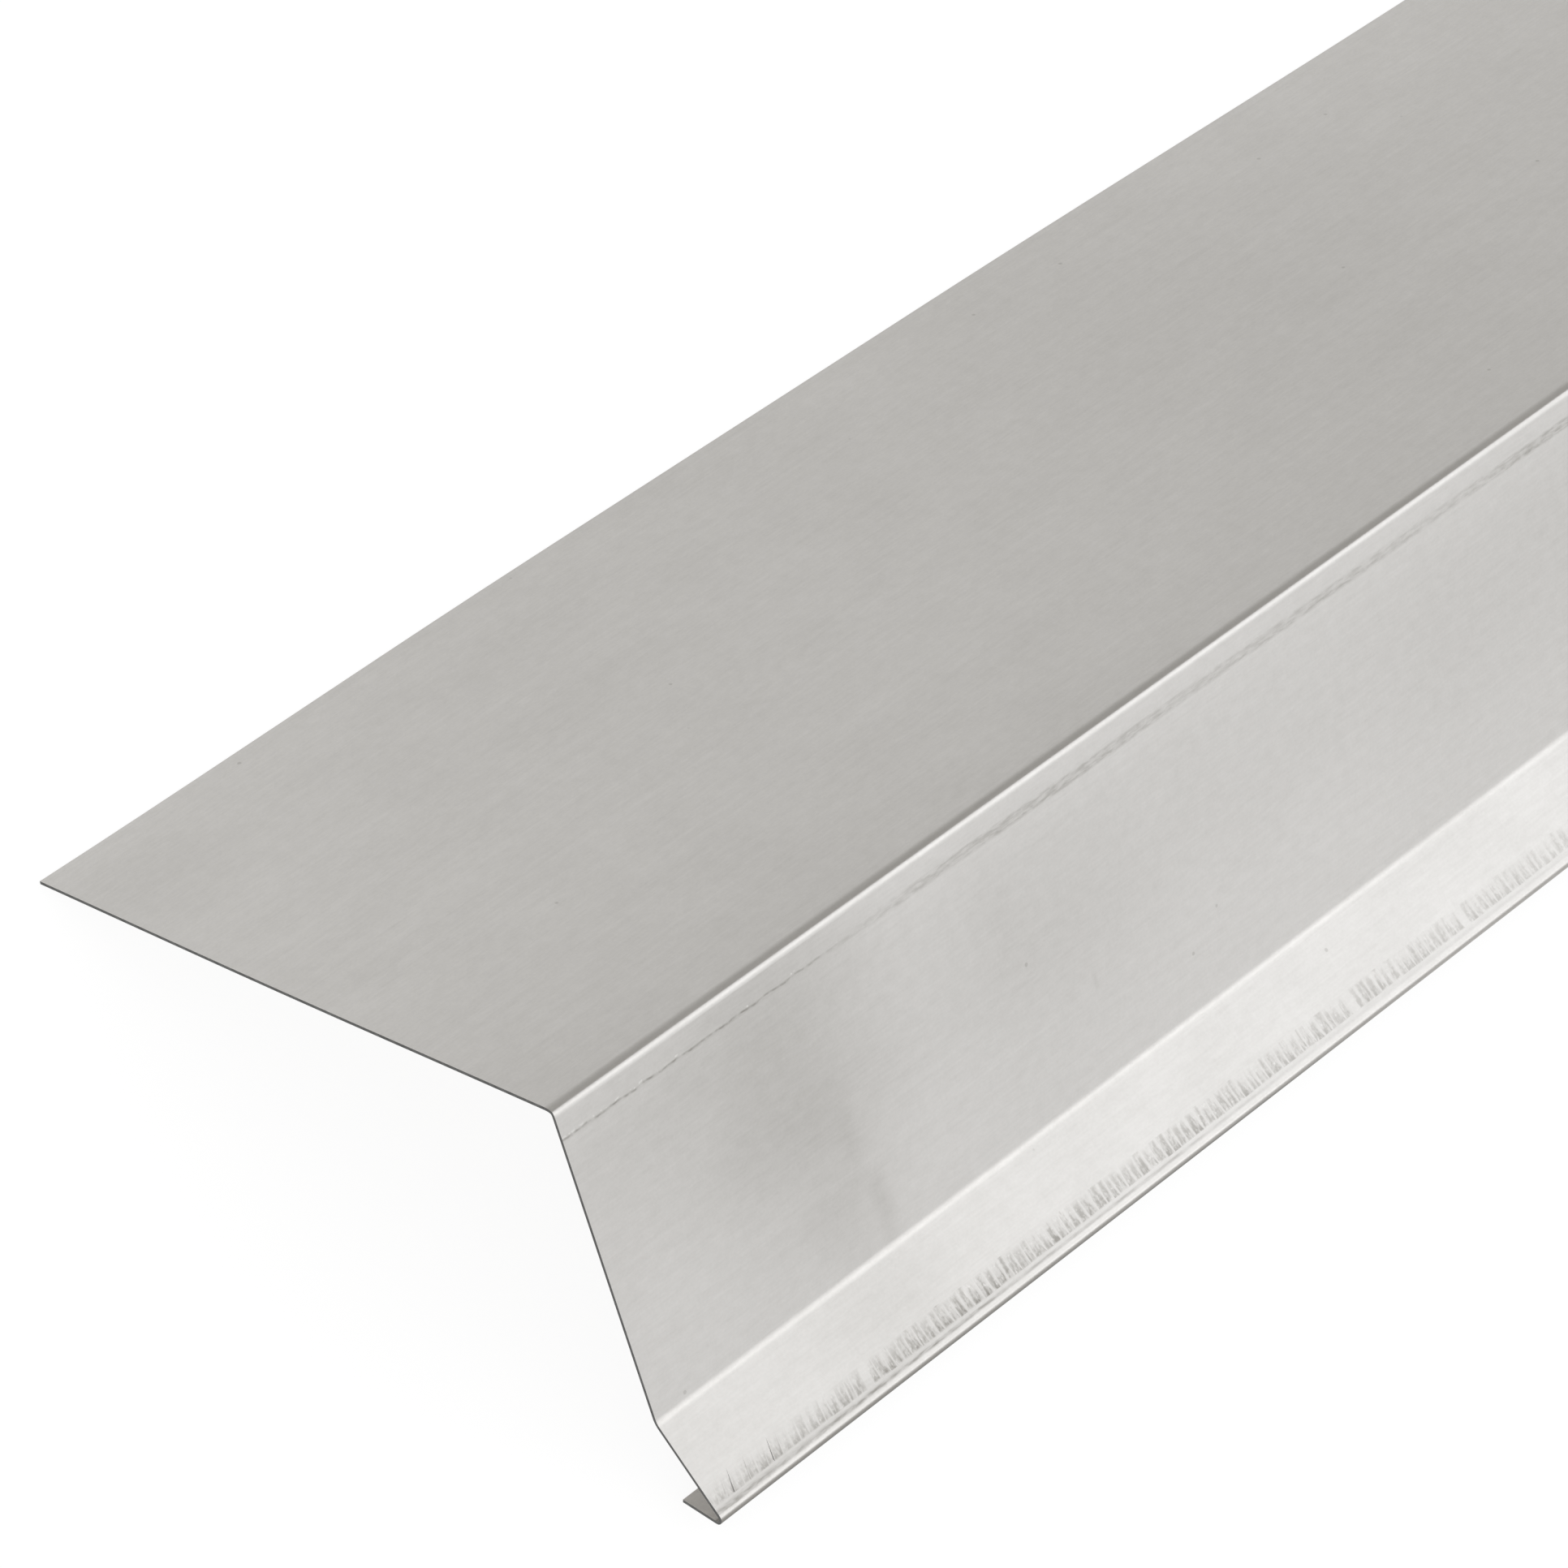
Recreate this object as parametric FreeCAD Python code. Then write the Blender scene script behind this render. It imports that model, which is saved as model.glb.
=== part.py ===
"""Eaves drip edge: one length of galvanised sheet, folded along its whole run.

The roof leg lies on the deck, the face hangs in front of the fascia, and the kick throws rain clear of
the wall into the gutter. The return at the bottom stiffens the edge and makes the water let go.

Millimetres. +X runs along the stock, -Y points outwards from the eaves, +Z is up. The origin is under the
middle of the piece, which stands like a tent on the free edges of the roof leg and the return.
"""

import FreeCAD, Part
import math
import os

# Sheet and stock
LENGTH = 2000.0
SHEET = 0.5

# Widths of the legs on the weather side, from the roof leg's free edge to the return's.
# A width runs to the sharp corner of an open fold, and to the outermost point of a closed one.
ROOF_LEG = 100.0
FACE = 49.0
KICK = 16.2
RETURN = 7.1

# Folds between those legs: degrees turned (down is positive) and radius on the fold's inner side
FACE_FOLD = (76.0, 0.5)
KICK_FOLD = (-27.0, 2.0)
RETURN_FOLD = (140.0, 0.5)

ALONG = FreeCAD.Vector(1, 0, 0)
OUTWARDS = FreeCAD.Vector(0, -1, 0)


def turned(direction, degrees):
    """A direction of the section, turned about the run of the stock; positive goes from outwards to down."""
    return FreeCAD.Rotation(ALONG, degrees).multVec(direction)


def weather_radius(fold):
    """Radius of a fold on the weather side, which is the outer side where the sheet turns down."""
    turn, inner_radius = fold
    return inner_radius + SHEET if turn > 0 else inner_radius


def setback(fold):
    """What a fold takes off the flat of each leg beside it."""
    angle = abs(fold[0])
    if angle > 90:
        return weather_radius(fold)
    return weather_radius(fold) * math.tan(math.radians(angle / 2))


def fold_arc(start, heading, fold):
    """The weather side of one fold, as a tangent arc."""
    turn, _ = fold
    to_centre = turned(heading, math.copysign(90, turn)) * weather_radius(fold)
    centre = start + to_centre
    middle = centre - turned(to_centre, turn / 2)
    end = centre - turned(to_centre, turn)
    return Part.Arc(start, middle, end)


def weather_side():
    """Flats and folds of the weather side in order, with the roof leg level."""
    widths = [ROOF_LEG, FACE, KICK, RETURN]
    folds = [FACE_FOLD, KICK_FOLD, RETURN_FOLD]
    setbacks = [0.0, *map(setback, folds), 0.0]
    curves = []
    here = FreeCAD.Vector(0, 0, 0)
    heading = OUTWARDS
    for number, width in enumerate(widths):
        flat = width - setbacks[number] - setbacks[number + 1]
        curves.append(Part.LineSegment(here, here + heading * flat))
        here = curves[-1].EndPoint
        if number < len(folds):
            curves.append(fold_arc(here, heading, folds[number]))
            here = curves[-1].EndPoint
            heading = turned(heading, folds[number][0])
    return curves


def lean_at_rest(curves):
    """Degrees that bring the two free edges to one level, so that the piece stands on them."""
    back_foot = curves[0].StartPoint + turned(OUTWARDS, 90) * SHEET
    front_foot = curves[-1].EndPoint
    across = front_foot - back_foot
    return math.degrees(math.atan2(across.z, -across.y))


def drip_edge():
    """The folded sheet, standing on its free edges about the origin."""
    curves = weather_side()
    outline = Part.Wire([curve.toShape() for curve in curves])
    section = outline.makeOffset2D(-SHEET, fill=True, openResult=True)
    section.rotate(FreeCAD.Vector(), ALONG, lean_at_rest(curves))
    solid = section.extrude(ALONG * LENGTH)
    box = solid.BoundBox
    solid.translate(-FreeCAD.Vector(box.Center.x, box.Center.y, box.ZMin))
    return solid


def main():
    """Write the drip edge as one solid."""
    os.makedirs("parts", exist_ok=True)
    drip_edge().exportStep("parts/drip_edge.step")


main()
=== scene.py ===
"""Looks of an eaves drip edge: one length of galvanised sheet, folded along its whole run.

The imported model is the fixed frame, in metres: +X runs along the stock, -Y points outwards from the
eaves and +Z is up. The sheet is modelled again on the same section as a fine mesh, with smooth folds,
the scribed line of the brake on its face and the strikes of the folding tool on its kick. Then it is
dressed, lit and framed.
"""

from __future__ import annotations

import logging
import math
import random
from collections.abc import Callable, Mapping, Sequence
from dataclasses import dataclass, field
from enum import Enum
from typing import Any

import bmesh
import bpy
import numpy as np
from mathutils import Matrix, Quaternion, Vector, noise

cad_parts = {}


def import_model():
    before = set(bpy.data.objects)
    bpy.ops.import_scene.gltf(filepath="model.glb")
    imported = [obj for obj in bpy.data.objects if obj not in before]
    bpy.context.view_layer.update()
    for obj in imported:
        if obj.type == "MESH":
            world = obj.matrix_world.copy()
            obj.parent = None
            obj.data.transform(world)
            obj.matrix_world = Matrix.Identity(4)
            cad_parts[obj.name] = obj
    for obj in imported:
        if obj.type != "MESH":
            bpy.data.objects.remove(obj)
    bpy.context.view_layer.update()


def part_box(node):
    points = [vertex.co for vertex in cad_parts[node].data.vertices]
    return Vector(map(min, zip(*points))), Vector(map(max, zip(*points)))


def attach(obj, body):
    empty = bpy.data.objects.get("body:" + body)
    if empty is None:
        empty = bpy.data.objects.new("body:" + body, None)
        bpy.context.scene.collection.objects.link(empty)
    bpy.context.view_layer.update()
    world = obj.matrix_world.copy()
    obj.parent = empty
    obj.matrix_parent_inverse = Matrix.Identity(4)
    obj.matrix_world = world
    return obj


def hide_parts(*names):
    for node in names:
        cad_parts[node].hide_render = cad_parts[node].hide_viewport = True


LOG = logging.getLogger("drip_edge")
MM = 0.001
NEAR = 1e-6
ALONG = Vector((1.0, 0.0, 0.0))
OUTWARDS = Vector((0.0, -1.0, 0.0))


class Side(Enum):
    """Which part of the sheet's skin a face belongs to, as its material's place on the piece."""

    WEATHER = 0
    INNER = 1
    CUT = 2


class Leg(Enum):
    """The legs of the section, from the roof leg's free edge to the return's."""

    ROOF = 0
    FACE = 1
    KICK = 2
    RETURN = 3


class Strike(Enum):
    """How hard the folding tool struck: depth of the dent in metres, and how dull it left the zinc."""

    HARD = (0.02 * MM, 0.53)
    FIRM = (0.016 * MM, 0.49)
    LIGHT = (0.011 * MM, 0.44)

    @property
    def depth(self) -> float:
        """Depth of the dent, in metres."""
        return self.value[0]

    @property
    def dullness(self) -> float:
        """Dullness of the struck zinc, from 0 to 1."""
        return self.value[1]


class Wire:
    """A value socket whose Python arithmetic adds Math nodes to its bench."""

    def __init__(self, bench: NodeBench, socket: bpy.types.NodeSocket) -> None:
        """Wrap a socket.

        Args:
            bench: The bench whose tree holds the socket.
            socket: The output socket.
        """
        self.bench = bench
        self.socket = socket

    def __add__(self, other: Wire | float) -> Wire:
        """The sum of two values."""
        return self.bench.math("ADD", self, other)

    def __radd__(self, other: float) -> Wire:
        """The sum of a number and this value."""
        return self.bench.math("ADD", other, self)

    def __sub__(self, other: Wire | float) -> Wire:
        """The difference of two values."""
        return self.bench.math("SUBTRACT", self, other)

    def __rsub__(self, other: float) -> Wire:
        """A number less this value."""
        return self.bench.math("SUBTRACT", other, self)

    def __mul__(self, other: Wire | float) -> Wire:
        """The product of two values."""
        return self.bench.math("MULTIPLY", self, other)

    def __rmul__(self, other: float) -> Wire:
        """A number times this value."""
        return self.bench.math("MULTIPLY", other, self)


class NodeBench:
    """Adds nodes to one node tree and links them."""

    def __init__(self, tree: bpy.types.NodeTree) -> None:
        """Start on an empty tree.

        Args:
            tree: The node tree, whose nodes are cleared.
        """
        self.tree = tree
        self.tree.nodes.clear()

    def node(
        self,
        kind: str,
        settings: Mapping[str, Any] | None = None,
        sockets: Mapping[str | int, Any] | None = None,
    ) -> bpy.types.Node:
        """Add one node.

        Args:
            kind: The node's type.
            settings: Its properties, set first.
            sockets: Values or links of its input sockets, by name or number.

        Returns:
            The new node.
        """
        made = self.tree.nodes.new(kind)
        for name, value in (settings or {}).items():
            setattr(made, name, value)
        for name, value in (sockets or {}).items():
            if isinstance(value, Wire):
                self.tree.links.new(value.socket, made.inputs[name])
            elif isinstance(value, bpy.types.NodeSocket):
                self.tree.links.new(value, made.inputs[name])
            else:
                made.inputs[name].default_value = value
        return made

    def wire(
        self,
        kind: str,
        settings: Mapping[str, Any] | None = None,
        sockets: Mapping[str | int, Any] | None = None,
        output: str | int = 0,
    ) -> Wire:
        """Add one node and take one of its outputs.

        Args:
            kind: The node's type.
            settings: Its properties.
            sockets: Values or links of its input sockets.
            output: The output's name or number.

        Returns:
            The output as a wire.
        """
        return Wire(self, self.node(kind, settings, sockets).outputs[output])

    def math(self, operation: str, first: Wire | float, second: Wire | float) -> Wire:
        """Add a Math node.

        Args:
            operation: The node's operation.
            first: The first value.
            second: The second value.

        Returns:
            The result.
        """
        return self.wire("ShaderNodeMath", {"operation": operation}, {0: first, 1: second})

    def ease(self, value: Wire, start: float, end: float) -> Wire:
        """Rise smoothly from 0 to 1.

        Args:
            value: The value that is read.
            start: Where the rise starts.
            end: Where it has ended; it may lie below the start, and the rise then falls.

        Returns:
            The eased value.
        """
        sockets = {"Value": value, "From Min": start, "From Max": end}
        return self.wire("ShaderNodeMapRange", {"interpolation_type": "SMOOTHSTEP"}, sockets)

    def noise(self, vector: Wire, stretch: Sequence[float], detail: float = 2.0) -> Wire:
        """Noise with its own scale on each axis.

        Args:
            vector: The coordinates.
            stretch: Cells to a metre, on each axis.
            detail: Octaves of the noise.

        Returns:
            A value about 0.5.
        """
        place = self.wire("ShaderNodeMapping", None, {"Vector": vector, "Scale": tuple(stretch)})
        return self.wire("ShaderNodeTexNoise", None, {"Vector": place, "Scale": 1.0, "Detail": detail})

    def band(self, value: Wire, low: float, high: float, edge: float) -> Wire:
        """A mask that is 1 between two values and fades outside them.

        Args:
            value: The value that is read.
            low: Where the mask reaches 1.
            high: Where it leaves 1.
            edge: How far it fades.

        Returns:
            The mask.
        """
        return self.ease(value, low - edge, low) * self.ease(value, high + edge, high)

    def mix(self, factor: Wire, first: Any, second: Any) -> Wire:
        """Mix two colours.

        Args:
            factor: How much of the second colour there is, from 0 to 1.
            first: The first colour.
            second: The second colour.

        Returns:
            The mixed colour.
        """
        sockets = {"Factor": factor, "A": first, "B": second}
        return self.wire("ShaderNodeMix", {"data_type": "RGBA"}, sockets, "Result")

    def vector(self, operation: str, first: Wire, second: Any) -> Wire:
        """Add a Vector Math node.

        Args:
            operation: The node's operation.
            first: The first vector.
            second: The second vector.

        Returns:
            The result, as a vector.
        """
        return self.wire("ShaderNodeVectorMath", {"operation": operation}, {0: first, 1: second})

    def surface(self, shader: bpy.types.Node) -> None:
        """Make a shader the surface of the material."""
        self.node("ShaderNodeOutputMaterial", None, {"Surface": shader.outputs[0]})


def new_material(name: str) -> tuple[bpy.types.Material, NodeBench]:
    """Make a material that has no nodes yet.

    Args:
        name: Its name.

    Returns:
        The material, and the bench for its nodes.
    """
    made = bpy.data.materials.new(name)
    made.use_nodes = True
    return made, NodeBench(made.node_tree)


@dataclass(frozen=True)
class Fold:
    """One fold of the sheet: a tight middle, and a gentle start and end where the brake has them.

    Attributes:
        turn: Degrees turned; down is positive.
        inner_radius: Radius of the tight middle on its inner side, in metres.
        steps: Facets round the middle.
        ease_in: Developed length of the gentle start.
        ease_out: Developed length of the gentle end.
        ease_turn: Degrees turned in each of these.
        ease_steps: Facets round each of these.
    """

    turn: float
    inner_radius: float
    steps: int
    ease_in: float = 0.0
    ease_out: float = 0.0
    ease_turn: float = 0.0
    ease_steps: int = 0

    def weather_radius(self, sheet: float) -> float:
        """Radius on the weather side, for a sheet of that thickness."""
        return self.inner_radius + sheet if self.turn > 0 else self.inner_radius

    def strides(self, sheet: float) -> list[tuple[float, float]]:
        """Straight strides round the weather side.

        Args:
            sheet: Thickness of the sheet.

        Returns:
            The angle of each stride from the fold's start, in radians, and its length.
        """
        whole = abs(self.turn)
        tight = whole - 2 * self.ease_turn
        chord = 2 * self.weather_radius(sheet) * math.sin(math.radians(tight / self.steps / 2))
        middle = [(self.ease_turn + tight * (step + 0.5) / self.steps, chord) for step in range(self.steps)]
        shares = [(step + 0.5) / self.ease_steps for step in range(self.ease_steps)]
        angles = [self.ease_turn * share**2 for share in shares]
        start = [(angle, self.ease_in / self.ease_steps) for angle in angles]
        end = [(whole - angle, self.ease_out / self.ease_steps) for angle in reversed(angles)]
        side = math.copysign(1.0, self.turn)
        return [(math.radians(side * angle), stride) for angle, stride in start + middle + end]

    def setbacks(self, sheet: float) -> tuple[float, float]:
        """What the fold takes off the flats beside it.

        Args:
            sheet: Thickness of the sheet.

        Returns:
            What it takes off the leg before it, and off the leg after it.
        """
        if abs(self.turn) > 90:
            return self.weather_radius(sheet), self.weather_radius(sheet)
        strides = self.strides(sheet)
        run = sum(stride * math.cos(angle) for angle, stride in strides)
        rise = sum(stride * math.sin(angle) for angle, stride in strides)
        after = rise / math.sin(math.radians(self.turn))
        return run - after * math.cos(math.radians(self.turn)), after


@dataclass(frozen=True)
class Bend:
    """One fold at its place in the section.

    Attributes:
        strides: The straight strides round its weather side, in order.
    """

    strides: tuple[Vector, ...]

    @property
    def length(self) -> float:
        """Developed length on the weather side."""
        return sum(stride.length for stride in self.strides)


@dataclass
class Section:
    """The weather side of the folded sheet, laid in the frame as the piece stands.

    Attributes:
        sheet: Thickness.
        widths: Widths of the legs, to the sharp corner of an open fold or the outermost point
            of a closed one.
        folds: The folds between them.
        starts: Where each leg's flat starts.
        headings: The direction each leg runs in.
        flats: Flat length of each leg.
        bends: The folds at their places.
    """

    sheet: float = 0.5 * MM
    widths: tuple[float, ...] = (100 * MM, 49 * MM, 16.2 * MM, 7.1 * MM)
    folds: tuple[Fold, ...] = (
        Fold(76.0, 0.1 * MM, steps=10, ease_in=1.7 * MM, ease_out=1.0 * MM, ease_turn=23.0, ease_steps=8),
        Fold(-27.0, 3.2 * MM, steps=12),
        Fold(140.0, 0.5 * MM, steps=20),
    )
    starts: list[Vector] = field(default_factory=list)
    headings: list[Vector] = field(default_factory=list)
    flats: list[float] = field(default_factory=list)
    bends: list[Bend] = field(default_factory=list)

    def lay(self, low: Vector, high: Vector) -> None:
        """Work out the legs and folds, and place them in the frame.

        Args:
            low: Lowest corner of the CAD node.
            high: Highest corner of the CAD node.
        """
        self._run(Vector(), OUTWARDS)
        tip = self.starts[-1] + self.headings[-1] * self.flats[-1]
        heel = self.starts[0] + self.inwards(Leg.ROOF) * self.sheet
        across = tip - heel
        lean = math.atan2(across.z, -across.y)
        self._run(Vector(), self.turned(OUTWARDS, lean))
        corner = self.starts[0] + self.inwards(Leg.ROOF) * self.sheet
        middle = (self.starts[0].y + self.outline()[:, 1].min()) / 2
        shift = Vector((0.0, (low.y + high.y) / 2 - middle, low.z - corner.z))
        self._run(shift, self.turned(OUTWARDS, lean))

    def inwards(self, leg: Leg) -> Vector:
        """The direction from a leg's weather side into the sheet."""
        return self.turned(self.headings[leg.value], math.pi / 2)

    def reach(self, leg: Leg, point: Vector) -> float:
        """Distance of a point along a leg, from the start of the leg's flat."""
        return (point - self.starts[leg.value]).dot(self.headings[leg.value])

    def depth(self, leg: Leg, point: Vector) -> float:
        """Depth of a point below a leg's weather side."""
        return (point - self.starts[leg.value]).dot(self.inwards(leg))

    def start_of(self, leg: Leg) -> float:
        """Developed distance from the roof leg's free edge to the start of a leg's flat."""
        return sum(self.flats[: leg.value]) + sum(bend.length for bend in self.bends[: leg.value])

    def outline(self) -> np.ndarray:
        """Corner points of the weather side, in order.

        Returns:
            Rows of developed distance, y and z.
        """
        strides = []
        for number, heading in enumerate(self.headings):
            strides.append(heading * self.flats[number])
            if number < len(self.bends):
                strides.extend(self.bends[number].strides)
        here = self.starts[0]
        reach = 0.0
        rows = [(reach, here.y, here.z)]
        for stride in strides:
            here = here + stride
            reach += stride.length
            rows.append((reach, here.y, here.z))
        return np.array(rows)

    def developed(self, points: np.ndarray) -> np.ndarray:
        """Developed distance of points on or in the sheet.

        Args:
            points: Rows of x, y and z.

        Returns:
            The distance of each, from the roof leg's free edge.
        """
        rows = self.outline()
        best = np.full(len(points), np.inf)
        found = np.zeros(len(points))
        for first, second in zip(rows[:-1], rows[1:]):
            run = second[1:] - first[1:]
            share = np.clip((points[:, 1:] - first[1:]) @ run / (run @ run), 0.0, 1.0)
            away = np.linalg.norm(points[:, 1:] - first[1:] - share[:, None] * run, axis=1)
            nearer = away < best
            best = np.where(nearer, away, best)
            found = np.where(nearer, first[0] + share * (second[0] - first[0]), found)
        return found

    @staticmethod
    def turned(direction: Vector, angle: float) -> Vector:
        """A direction turned about the run of the stock; a positive angle goes from outwards to down."""
        return Quaternion(ALONG, angle) @ direction

    def _run(self, start: Vector, heading: Vector) -> None:
        """Lay the legs and folds one after the other.

        Args:
            start: The roof leg's free edge, on the weather side.
            heading: The direction the roof leg runs in.
        """
        setbacks = [fold.setbacks(self.sheet) for fold in self.folds]
        taken = zip([0.0, *(after for _, after in setbacks)], [*(before for before, _ in setbacks), 0.0])
        self.starts, self.headings, self.flats, self.bends = [], [], [], []
        here = start
        for number, (width, ends) in enumerate(zip(self.widths, taken)):
            flat = width - sum(ends)
            self.starts.append(here)
            self.headings.append(heading)
            self.flats.append(flat)
            here = here + heading * flat
            if number < len(self.folds):
                fold = self.folds[number]
                strides = fold.strides(self.sheet)
                bend = Bend(tuple(self.turned(heading, angle) * stride for angle, stride in strides))
                self.bends.append(bend)
                here = sum(bend.strides, here)
                heading = self.turned(heading, math.radians(fold.turn))


@dataclass(frozen=True)
class EdgeWave:
    """The slack waves that shearing left in the roof leg's free edge.

    Attributes:
        lift: How far the edge stands off the leg's plane on a crest.
        rise: Length over which it rises to a crest.
        crest: Length of a crest.
        fall: Length over which it falls again.
        pitch: Distance from one wave to the next.
        fade: How fast it dies out across the leg, as a power.
    """

    lift: float = 1.0 * MM
    rise: float = 100 * MM
    crest: float = 90 * MM
    fall: float = 130 * MM
    pitch: float = 530 * MM
    fade: float = 3.0

    def at(self, from_end: float, share: float) -> float:
        """How far the sheet is lifted at one place.

        Args:
            from_end: Distance from the near end of the stock.
            share: Share of the leg's flat that lies between the place and the free edge.

        Returns:
            The lift.
        """
        along = from_end % self.pitch
        up = self._ease(along / self.rise)
        down = self._ease((along - self.rise - self.crest) / self.fall)
        return self.lift * (up - down) * (1.0 - share) ** self.fade

    @staticmethod
    def _ease(share: float) -> float:
        """A smooth rise from 0 to 1 as the share goes from 0 to 1."""
        within = min(1.0, max(0.0, share))
        return within * within * (3.0 - 2.0 * within)


@dataclass(frozen=True)
class PressedLine:
    """A line that the folding brake pressed along the sheet.

    Attributes:
        leg: The leg that carries it.
        place: Distance of its middle from the start of the leg's flat, or from the end if negative.
        row: Distance between the rows that carry it.
        rows: How many rows there are on each side of the middle.
        cuts: Cuts in each column, so that the line can break into dashes.
        depth: Depth of the line.
        dullness: How dull it left the zinc, from 0 to 1.
    """

    RIPPLE_SLICE = 0.37
    RIPPLE_GAIN = 1.6

    leg: Leg
    place: float
    row: float
    rows: int
    cuts: int
    depth: float
    dullness: float

    def middle(self, section: Section) -> float:
        """Distance of its middle from the start of the leg's flat."""
        return self.place if self.place > 0 else section.flats[self.leg.value] + self.place

    def places(self, section: Section) -> list[float]:
        """Distances of its rows from the start of the leg's flat."""
        return [self.middle(section) + self.row * step for step in range(-self.rows, self.rows + 1)]

    def press(self, from_end: float, off: float) -> float:
        """How hard it is pressed at one place.

        Args:
            from_end: Distance from the near end of the stock.
            off: Distance across from its middle.

        Returns:
            From 0 to 1.
        """
        raise NotImplementedError

    def sink(self, from_end: float, off: float) -> float:
        """How far the sheet is pressed in at one place, by the same measures as for the press."""
        return self.depth * self.press(from_end, off)

    @staticmethod
    def ridge(off: float, middle: float, width: float) -> float:
        """A smooth rise to 1 and fall, about a middle."""
        return math.exp(-(((off - middle) / width) ** 2))

    @staticmethod
    def ripple(from_end: float, pitch: float, phase: float) -> float:
        """Seeded noise along the stock, from about -1 to 1."""
        spot = Vector((from_end / pitch, phase, PressedLine.RIPPLE_SLICE))
        return noise.noise(spot) * PressedLine.RIPPLE_GAIN


@dataclass(frozen=True)
class ScribedLine(PressedLine):
    """The line on the face close below the top fold: one fine scratch at first, then double and soft.

    Attributes:
        fine_length: How far from the near end it is one fine scratch.
        fine_press: How hard that scratch is pressed.
        fine_drop: How far below the middle it runs.
        fine_width: Half its width.
        wander: How far the double line strays across.
        wander_pitch: How far it goes from one stray to the next.
        soft_press: How hard the double line is pressed.
        patch_pitch: How far it goes from one strong patch to the next.
        patch_range: Least and most strength of a patch.
        upper_press: How hard its upper line is pressed, as a share of its lower one.
        upper: Distance of its upper line from the middle, and half that line's width.
        lower: The same for its lower line.
    """

    leg: Leg = Leg.FACE
    place: float = 3.2 * MM
    row: float = 0.25 * MM
    rows: int = 4
    cuts: int = 7
    depth: float = 0.012 * MM
    dullness: float = 1.0
    fine_length: float = 52 * MM
    fine_press: float = 0.17
    fine_drop: float = 0.1 * MM
    fine_width: float = 0.2 * MM
    wander: float = 0.12 * MM
    wander_pitch: float = 14 * MM
    soft_press: float = 0.5
    patch_pitch: float = 42 * MM
    patch_range: tuple[float, float] = (0.45, 0.78)
    upper_press: float = 0.8
    upper: tuple[float, float] = (-0.5 * MM, 0.34 * MM)
    lower: tuple[float, float] = (0.3 * MM, 0.38 * MM)

    def press(self, from_end: float, off: float) -> float:
        """How hard it is pressed at one place.

        Args:
            from_end: Distance from the near end of the stock.
            off: Distance across from its middle.

        Returns:
            From 0 to 1.
        """
        blur = min(1.0, max(0.0, (from_end - self.fine_length) / (0.5 * self.fine_length)))
        fine = self.fine_press * self.ridge(off, self.fine_drop, self.fine_width)
        wander = self.wander * self.ripple(from_end, self.wander_pitch, 2.0)
        faint, strong = self.patch_range
        patch = min(strong, max(faint, 0.65 + 0.4 * self.ripple(from_end, self.patch_pitch, 9.0)))
        upper, lower = (self.ridge(off, wander + drop, width) for drop, width in (self.upper, self.lower))
        return (1.0 - blur) * fine + blur * self.soft_press * patch * (self.upper_press * upper + lower)


@dataclass(frozen=True)
class JawLine(PressedLine):
    """The line of the brake's jaw on the kick, and the slight swelling between it and the bottom fold.

    Attributes:
        spell: How far it runs before it fades, and then comes back.
        clearest: Where it is first clearest, from the near end, as a share of the spell.
        line_width: Half the line's width.
        line_rise: How far above the middle the line runs, and the swelling below it.
        crest: Height of the swelling.
        crest_width: Half the swelling's width.
        end_width: How much wider the line is at the sheared end.
        end_drop: How much lower it and the swelling run there.
        end_length: How far from that end this fades.
    """

    leg: Leg = Leg.KICK
    place: float = -0.6 * MM
    row: float = 0.2 * MM
    rows: int = 3
    cuts: int = 4
    depth: float = 0.004 * MM
    dullness: float = 0.54
    spell: float = 330 * MM
    clearest: float = 0.12
    line_width: float = 0.17 * MM
    line_rise: float = 0.12 * MM
    crest: float = 0.042 * MM
    crest_width: float = 0.24 * MM
    end_width: float = 0.45 * MM
    end_drop: float = 0.36 * MM
    end_length: float = 20 * MM

    def press(self, from_end: float, off: float) -> float:
        """How hard it is pressed at one place.

        Args:
            from_end: Distance from the near end of the stock.
            off: Distance across from its middle.

        Returns:
            From 0 to 1.
        """
        near = self._near(from_end)
        swell = max(0.0, math.cos(2 * math.pi * (from_end / self.spell - self.clearest)))
        worn = 0.85 + 0.3 * self.ripple(from_end, 9 * MM, 13.0)
        width = self.line_width + self.end_width * near
        return min(1.0, swell * worn) * self.ridge(off, self.end_drop * near - self.line_rise, width)

    def sink(self, from_end: float, off: float) -> float:
        """How far the sheet is pressed in at one place, less the swelling."""
        middle = self.end_drop * self._near(from_end) + self.line_rise
        return super().sink(from_end, off) - self.crest * self.ridge(off, middle, self.crest_width)

    def _near(self, from_end: float) -> float:
        """How near the sheared end is: 1 at the end, and fading along the stock."""
        return math.exp(-from_end / self.end_length)


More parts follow.
